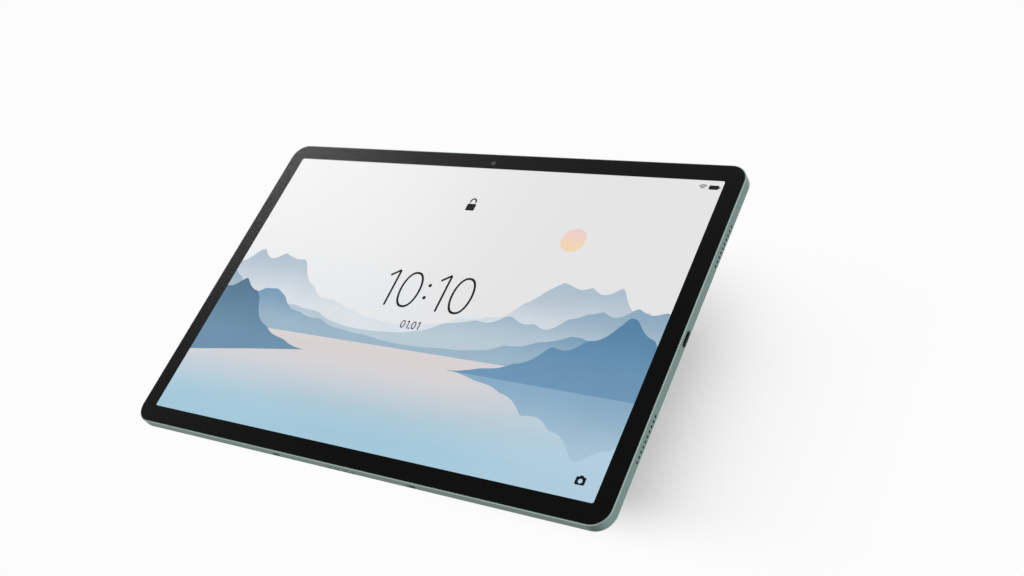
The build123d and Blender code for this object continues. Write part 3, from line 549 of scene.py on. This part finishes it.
def oval(x, z, width, height, line):
    """An upright ring with slightly straight sides: its outer and inner outline."""
    def outline(w, h):
        points = []
        for turn in (2 * math.pi * i / 56 for i in range(56)):
            c, d = math.cos(turn), math.sin(turn)
            points.append((x + w / 2 * math.copysign(abs(c) ** 0.86, c), z + h / 2 * d))
        return points
    return outline(width, height), outline(width - 2 * line, height - 2 * line)


def numerals(text, x, z, height, line):
    """Plain thin numerals (0, 1 and dots) centred on (x, z): their plates and rings."""
    widths = {"0": 0.60, "1": 0.34, ":": 0.10, ".": 0.10}
    gap = 0.155 * height
    x -= (sum(widths[c] for c in text) * height + gap * (len(text) - 1)) / 2
    plates, rings = [], []
    for c in text:
        w = widths[c] * height
        if c == "1":
            top = z + height / 2
            plates.append(stroke([(x + 0.1 * w, top - 0.17 * height), (x + 0.8 * w, top)], line))
            plates.append(rounded(x + 0.8 * w, z, line, height, line * 0.4, 3))
        elif c == "0":
            rings.append(oval(x + w / 2, z, w, height, line))
        else:
            spots = (-0.17, 0.17) if c == ":" else (-0.43,)
            plates += [circle(x + w / 2, z + k * height, 0.8 * line, 20) for k in spots]
        x += w + gap
    return plates, rings


CLOCK_Z, CLOCK_H, CLOCK_LINE = 100.8, 22.0, 1.3
DATE_Z, DATE_H, DATE_LINE = 80.5, 4.6, 0.62
LOCK_Z = 154.9
SIGNAL_X, SIGNAL_Z = 126.3, 175.4     # the foot of the signal's arcs
BATTERY_X, BATTERY_Z = 132.2, 176.8
CAMERA_X, CAMERA_Z = 126.7, 18.5
TOP_LAYER = 10


def make_icons():
    """A neutral time and date, and plain padlock, signal, battery and camera signs."""
    ink = lit("lit_ink", srgb(20, 22, 26), srgb(26, 28, 32), 60, 120, wash=0.0)
    picture("clock", TOP_LAYER, ink, *numerals("10:10", 0, CLOCK_Z, CLOCK_H, CLOCK_LINE))
    soft_ink = lit("lit_soft_ink", srgb(40, 48, 56), srgb(48, 56, 64), 76, 82, wash=0.0)
    picture("date", TOP_LAYER, soft_ink, *numerals("01.01", 0, DATE_Z, DATE_H, DATE_LINE))
    shackle = stroke(arc(0, LOCK_Z + 3.3, 1.75, -10, 190, 14, 1.25), 0.9)
    picture("lock", TOP_LAYER, ink, [rounded(0, LOCK_Z, 5.6, 4.4, 0.6, 4), shackle])
    fan = [stroke(arc(SIGNAL_X, SIGNAL_Z, r, 45, 135, 10), 0.45) for r in (1.0, 1.9, 2.8)]
    cell = rounded(BATTERY_X, BATTERY_Z, 5.2, 2.5, 0.6, 4)
    cell_tip = rounded(BATTERY_X + 3.0, BATTERY_Z, 0.5, 1.1, 0.2, 3)
    picture("status", TOP_LAYER, ink, [*fan, cell, cell_tip])
    camera_body = (rounded(CAMERA_X, CAMERA_Z, 5.0, 3.8, 0.7, 5), circle(CAMERA_X, CAMERA_Z - 0.1, 1.1, 24))
    camera_hump = rounded(CAMERA_X, CAMERA_Z + 2.1, 2.0, 0.8, 0.2, 3)
    picture("camera_icon", TOP_LAYER, ink, [camera_hump], [camera_body])


def centre(node):
    """The middle of a CAD node's box, as x and z."""
    low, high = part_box(node)
    return (low.x + high.x) / 2, (low.z + high.z) / 2


# ================================================================ front
GLASS_EDGE = 0.3 * MM         # radius of the glass's polished round edge
INK_Y = GLASS_LOW.y + PRINT_DEPTH - 0.02 * MM     # front of the printed border
INK_T = 0.03 * MM


def make_cover_glass():
    """The cover glass with its polished round edge, and the ink printed on it."""
    width, height = GLASS_HIGH.x - GLASS_LOW.x, GLASS_HIGH.z - GLASS_LOW.z
    corner = BODY_CORNER - (GLASS_LOW.x - FRAME_LOW.x)
    back = GLASS_HIGH.y - 0.03 * MM

    def outline(inset):
        return rounded(0, MID_Z, width - 2 * inset, height - 2 * inset, corner - inset, 20)

    rings = [(back, outline(0.0))]
    for degrees in range(0, 91, 15):
        turn = math.radians(degrees)
        inset = GLASS_EDGE * (1 - math.cos(turn))
        rings.append((GLASS_LOW.y + GLASS_EDGE * (1 - math.sin(turn)), outline(inset)))
    clear = glass("clear_glass", (0.02, 0.024, 0.024, 1), 0.05)
    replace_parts(piece("cover_glass_pane", Form().loft(rings), clear, smooth_below=60),
                "cover_glass")
    # the printed border, as near as it looks through the glass, and its black edge behind it
    ink = black_ink()
    lit_area = rounded(0, MID_Z, SCREEN_W * MM, SCREEN_H * MM, 1.0 * MM, 20)
    border = Form().ring(outline(0.1 * MM), lit_area, INK_Y, INK_Y + INK_T)
    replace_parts(piece("border_print", border, ink), "black_border_print")
    band = Form().ring(outline(0.04 * MM), outline(1.2 * MM), GLASS_LOW.y + GLASS_EDGE, back - 0.01 * MM)
    piece("glass_edge_print", band, ink)


def make_front_camera():
    """The small lens in the border: a dark well, a ring and a coated front element with a bluish glint
    painted in its middle.
    """
    x, z = centre("front_camera_module")
    well = Shader("camera_well", Roughness=0.3)
    well.to("Base Color", well.mix(well.noise(3000), srgb(4, 4, 5), srgb(9, 9, 10)))
    y, face = INK_Y, INK_Y - 0.04 * MM
    ring = [(1.45 * MM, y), (1.45 * MM, face), (0.95 * MM, face), (0.8 * MM, y)]
    piece("front_lens_ring", Form().turned(x, z, ring), well.material, smooth_below=40)
    eye = Shader("front_lens_blue_glint", Roughness=0.05)
    # painted reflection: a bluish glint in the lens's middle, near black outwards
    bright = eye.fit(eye.distance(x, z), 0.1 * MM, 0.75 * MM)
    eye.to("Base Color", eye.mix(bright, srgb(70, 84, 120), srgb(18, 20, 34)))
    dome = [(0.78 * MM, y + 0.015 * MM), (0.78 * MM, y), (0.6 * MM, y - 0.025 * MM),
            (0.3 * MM, y - 0.04 * MM), (0.02 * MM, y - 0.045 * MM)]
    piece("front_lens", Form().dome(x, z, dome, 48), eye.material, smooth_below=60)


# ================================================================ back
MASK_DEPTH = 0.32 * MM        # black print under the lens window
MASK_HOLE_R = 3.45 * MM
RIDGE_PITCH = 0.28 * MM       # pitch of the fine ridge rings on the baffle, painted as light and shade
ELEMENT_R = 2.18 * MM         # front lens element
ELEMENT_EDGE = 0.08 * MM
ELEMENT_RISE = 0.16 * MM


def make_rear_camera():
    """Window, black mask, stepped baffle and front element over the autofocus barrel."""
    low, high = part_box("rear_camera_window")
    x, z = centre("rear_camera_window")
    radius = (high.x - low.x) / 2
    make_lens_window(x, z, radius, high.y)
    mask_y, floor = high.y - MASK_DEPTH, low.y + 0.02 * MM
    make_lens_mask(x, z, radius - 0.02 * MM, mask_y)
    make_baffle(x, z, mask_y, floor)
    make_front_element(x, z, floor)


def make_lens_window(x, z, radius, top):
    """The clear window over the lens, with a bevelled edge."""
    bevel = 0.06 * MM
    pane = [(radius, top - 0.3 * MM), (radius, top - bevel), (radius - bevel, top), (0.05 * MM, top)]
    clear = glass("lens_window_glass", (0.02, 0.02, 0.024, 1), 0.16)
    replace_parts(piece("lens_window", Form().dome(x, z, pane), clear, smooth_below=50),
                "rear_camera_window")


def make_lens_mask(x, z, radius, y):
    """The black ring printed under the window."""
    mask = Shader("lens_mask", Roughness=0.16, Specular_IOR_Level=0.25)
    mask.to("Base Color", mask.mix(mask.noise(2500), srgb(7, 7, 8), srgb(11, 11, 12)))
    back = y - 0.06 * MM
    ring = [(radius, y), (radius, back), (MASK_HOLE_R, back), (MASK_HOLE_R, y)]
    piece("lens_mask_print", Form().turned(x, z, ring), mask.material, smooth_below=30)


def make_baffle(x, z, mask_y, floor):
    """The black ring that steps down from the mask to the lens, its fine ridges painted on as light and
    dark rings: painted shade and highlight.
    """
    baffle = Shader("lens_baffle", Roughness=0.35, Specular_IOR_Level=0.2)
    # painted shade and highlight: rings of lighter and darker colour stand for the ridges' relief
    turns = baffle.math("MULTIPLY", baffle.distance(x, z), 2 * math.pi / RIDGE_PITCH)
    ridge_shading = baffle.fit(baffle.math("SINE", turns), -1, 1)
    baffle.to("Base Color", baffle.mix(ridge_shading, srgb(3, 3, 4), srgb(13, 13, 15)))
    upper, middle, lower = mask_y - 0.1 * MM, mask_y - 0.16 * MM, mask_y - 0.24 * MM
    steps = [(3.95 * MM, floor), (3.95 * MM, upper), (3.5 * MM, upper), (3.3 * MM, middle),
             (2.7 * MM, middle), (2.55 * MM, lower), (2.2 * MM, lower), (2.2 * MM, floor)]
    piece("lens_baffle_ring", Form().turned(x, z, steps), baffle.material, smooth_below=30)


def make_front_element(x, z, floor):
    """The coated glass dome in the middle of the lens, with a purple glint painted in its middle that
    darkens outwards.
    """
    coat = Shader("rear_lens_coating_and_glint", Roughness=0.04, Coat_Weight=0.6, Coat_Roughness=0.03)
    # painted reflection: a purple glint in the middle, dark further out
    away = coat.fit(coat.distance(x, z), 0.3 * MM, 2.0 * MM)
    coat.to("Base Color", coat.mix(away, srgb(58, 44, 66), srgb(16, 18, 30)))
    shoulder = floor + ELEMENT_EDGE
    dome = [(ELEMENT_R, floor), (ELEMENT_R, shoulder)]
    for i in range(1, 9):
        turn = math.radians(90 * i / 8)
        dome.append((ELEMENT_R * math.cos(turn) + 0.01 * MM, shoulder + ELEMENT_RISE * math.sin(turn)))
    piece("front_element", Form().dome(x, z, dome), coat.material, smooth_below=60)


FLASH_RINGS = 7
FLASH_EYE_R = 1.15 * MM       # the dome in the middle of the flash lens
FLASH_EYE_RISE = 0.24 * MM


def make_flash():
    """A frosted lens with moulded rings over a yellow-white emitter, made to glow faintly in its own
    colours though the flash is off: painted light.
    """
    low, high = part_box("flash_window")
    x, z = centre("flash_window")
    radius, edge = (high.x - low.x) / 2, 0.05 * MM
    profile = [(radius, low.y + edge), (radius, high.y - edge), (radius - edge, high.y)]
    pitch = (radius - 1.3 * MM) / FLASH_RINGS
    for i in range(FLASH_RINGS):
        outer = radius - 0.15 * MM - i * pitch
        depth = (0.22 - 0.014 * i) * MM
        profile.append((outer, high.y))
        profile.append((outer - 0.82 * pitch, high.y - depth))
    for degrees in range(0, 90, 15):
        turn = math.radians(degrees)
        profile.append((FLASH_EYE_R * math.cos(turn), high.y - 0.28 * MM + FLASH_EYE_RISE * math.sin(turn)))
    profile.append((0.02 * MM, high.y - 0.04 * MM))
    # painted light: the lens glows faintly with its own tone, the flash being off
    frost = Shader("flash_frost_glowing", Roughness=0.22, Emission_Strength=0.12, Coat_Weight=0.5,
                   Coat_Roughness=0.05)
    away = frost.distance(x, z)
    tone = frost.mix(frost.fit(away, 0.3 * MM, 1.5 * MM), srgb(252, 250, 240), srgb(132, 156, 156))
    tone = frost.mix(frost.fit(away, 3.6 * MM, 4.4 * MM), tone, srgb(205, 220, 218))
    frost.to("Base Color", tone)
    frost.to("Emission Color", tone)
    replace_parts(piece("flash_lens", Form().dome(x, z, profile), frost.material,
                      smooth_below=25), "flash_window")


# ================================================================ port
PADS = 12
PAD_PITCH = 0.5 * MM
PAD_W = 0.28 * MM
PAD_REACH = 3.6 * MM          # from the tongue's tip to the far end of a pad
LONG_PADS = (0, 3, 8, 11)     # ground and supply pads, which meet the plug first
TONGUE_HALF_T = 0.35 * MM


def make_port_contacts():
    """Gold contacts on both faces of the tongue."""
    low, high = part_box("usb_c_shell")
    mid_y, mid_z = (low.y + high.y) / 2, (low.z + high.z) / 2
    tip = high.x - 0.9 * MM
    form = Form()
    for side in (-1, 1):
        face = mid_y + side * TONGUE_HALF_T
        y0, y1 = sorted((face - side * 0.02 * MM, face + side * 0.03 * MM))
        for i in range(PADS):
            z = mid_z + (i - (PADS - 1) / 2) * PAD_PITCH
            x0, x1 = tip - PAD_REACH, tip - (0.25 if i in LONG_PADS else 0.55) * MM
            z0, z1 = z - PAD_W / 2, z + PAD_W / 2
            form.plate([(x0, z0), (x1, z0), (x1, z1), (x0, z1)], y0, y1)
    piece("port_contacts", form, moulded("contact_gold", (0.78, 0.55, 0.22, 1), 0.22, 1.0))


# ================================================================ room
# The studio as the tablet mirrors it: an even room with soft bright and dark sides.
ROOM_BASE = 0.50
ROOM_SIDES = (                # direction, brightness, how narrow
    ((-0.60, -0.30, 0.74), 0.60, 8),
    ((-0.75, -0.44, 0.49), 3.60, 90),
    ((-0.40, -0.87, 0.25), -0.72, 4),
    ((0.00, 0.00, 1.00), 0.25, 2),
    ((-0.50, -0.45, -0.75), 0.35, 3),
    ((0.78, -0.55, 0.30), 0.35, 6),
    ((-0.30, 0.88, 0.30), 1.00, 14),
    ((-0.45, 0.60, -0.66), -0.45, 5),
    ((0.70, 0.70, -0.20), 0.25, 5),
    ((-0.70, 0.70, -0.10), 0.20, 5),
)
ROOM_DARKEST = 0.05
PAPER = srgb(252, 252, 252)[0]
LAMPS = (                     # name, place, size, power
    ("key", (-1.0, -0.25, 1.3), 0.7, 9.0),
    ("back_fill", (-0.6, 1.3, 0.9), 0.9, 3.5),
)


def make_room():
    """The room's light, which shows as plain paper to the camera itself."""
    world = bpy.data.worlds.new("studio")
    bpy.context.scene.world = world
    world.use_nodes = True
    room = Graph(world.node_tree)
    background = room.nodes["Background"]
    room.join(WHITE, background.inputs["Color"])
    direction = room.add("TexCoord").outputs["Generated"]
    level = ROOM_BASE
    for aim, brightness, narrow in ROOM_SIDES:
        dot = room.add("VectorMath")
        dot.operation = "DOT_PRODUCT"
        room.join(direction, dot.inputs[0])
        room.join(Vector(aim).normalized(), dot.inputs[1])
        lobe = room.math("POWER", room.math("MAXIMUM", dot.outputs["Value"], 0.0), narrow)
        level = room.math("ADD", room.math("MULTIPLY", lobe, brightness), level)
    seen = room.add("LightPath").outputs["Is Camera Ray"]
    choose = room.add("Mix", Factor=seen, A=room.math("MAXIMUM", level, ROOM_DARKEST), B=PAPER)
    room.join(choose.outputs[0], background.inputs["Strength"])


def make_lamps():
    for name, place, size, power in LAMPS:
        light = bpy.data.lights.new(name, "AREA")
        light.shape = "DISK"
        light.size = size
        light.energy = power
        lamp = bpy.data.objects.new(name, light)
        lamp.location = place
        lamp.rotation_mode = "QUATERNION"
        lamp.rotation_quaternion = (Vector((0, 0, MID_Z)) - Vector(place)).to_track_quat("-Z", "Y")
        bpy.context.scene.collection.objects.link(lamp)


# ================================================================ stage
STAGE_REACH = 1.2             # half the width of the floor and of the wall
WALL_GAP = 16 * MM            # from the camera island to the wall behind the tablet
FLOOR_DROP = 0.2 * MM         # from the tablet's edge down to the floor
SHADE_REACH = 0.10            # how far off the tablet still shades them
SHADE_DEPTH = 0.60            # how much of the light a fully shaded point loses
SHADE_SAMPLES = 12
FLOOR_LIGHT = (-0.25, -0.25, 0.9)     # directions that the soft light of the painted shadows comes from
WALL_LIGHT = (-0.4, -0.8, 0.4)
# Axis, and where along it in millimetres the wall's painted shade is none and full: it shows at the
# lower right, and not where the wall meets the floor.
WALL_FADES = (("Z", 0, 30), ("Z", 170, 90), ("X", 0, 120))


def make_stage():
    """A pale floor and wall in the background's own tone, with a soft shadow painted on them next to the
    tablet.
    """
    near, far = -STAGE_REACH, STAGE_REACH
    z = CAD_BOX[0][2] - FLOOR_DROP
    y = CAD_BOX[1][1] + WALL_GAP
    shaded_plane("floor", FLOOR_LIGHT, [(near, near, z), (far, near, z), (far, far, z), (near, far, z)])
    shaded_plane("wall", WALL_LIGHT, [(near, y, z), (far, y, z), (far, y, far), (near, y, far)], WALL_FADES)


def shaded_plane(name, to_light, corners, fades=()):
    """A plane that only the camera sees, from its front: it glows in the background's tone, with a shadow
    painted where the tablet hides the light.
    """
    mesh = bpy.data.meshes.new(name)
    mesh.from_pydata(corners, [], [(0, 1, 2, 3)])
    plane = bpy.data.objects.new(name, mesh)
    bpy.context.scene.collection.objects.link(plane)
    for ray in ("diffuse", "glossy", "transmission", "volume_scatter", "shadow"):
        setattr(plane, "visible_" + ray, False)
    shader = Shader(name + "_pale_with_painted_shadow", Base_Color=BLACK, Specular_IOR_Level=0.0, Emission_Strength=1.0)
    x, y, z = Vector(to_light).normalized()
    aim = shader.add("CombineXYZ", X=x, Y=y, Z=z).outputs[0]
    sky = shader.add("AmbientOcclusion", Distance=SHADE_REACH, Normal=aim)
    sky.samples = SHADE_SAMPLES
    # painted shadow: ambient occlusion towards to_light darkens the glow; no lamp casts it
    painted_shadow = shader.math("MULTIPLY", shader.math("SUBTRACT", 1.0, sky.outputs["AO"]), SHADE_DEPTH)
    for axis, none, full in fades:
        fade = shader.fit(shader.axis(shader.place, axis), none * MM, full * MM)
        painted_shadow = shader.math("MULTIPLY", painted_shadow, fade)
    shader.to("Emission Color", shader.mix(painted_shadow, (PAPER, PAPER, PAPER, 1), BLACK))
    mixer = shader.add("MixShader")
    shader.join(shader.add("NewGeometry").outputs["Backfacing"], mixer.inputs[0])
    shader.join(shader.bsdf.outputs[0], mixer.inputs[1])
    shader.join(shader.add("BsdfTransparent").outputs[0], mixer.inputs[2])
    shader.join(mixer.outputs[0], shader.nodes["Material Output"].inputs["Surface"])
    mesh.materials.append(shader.material)


# ================================================================ camera
EYE = Vector((398.1, -439.4, -155.4)) * MM
AIM = Vector((48.6, -3.45, 108.7)) * MM
ROLL = math.radians(25.67)
LENS = 44.742                 # focal length in millimetres on a 36 mm sensor


def make_camera():
    """Low, in front and to the right, and rolled, as if the tablet were held up to the eye."""
    forward = (AIM - EYE).normalized()
    right = forward.cross(Vector((0, 0, 1))).normalized()
    right = Matrix.Rotation(ROLL, 3, -forward) @ right
    axes = Matrix((right, right.cross(forward), -forward)).transposed().to_4x4()
    lens = bpy.data.cameras.new("camera")
    lens.sensor_width = 36.0
    lens.lens = LENS
    lens.clip_start = 0.01
    item = bpy.data.objects.new("camera", lens)
    item.matrix_world = Matrix.Translation(EYE) @ axes
    bpy.context.scene.collection.objects.link(item)
    bpy.context.scene.camera = item


paint_nodes()
make_landscape()
make_icons()
make_cover_glass()
make_front_camera()
make_rear_camera()
make_flash()
make_port_contacts()
make_room()
make_lamps()
make_stage()
make_camera()
bpy.context.scene.view_settings.view_transform = "Standard"
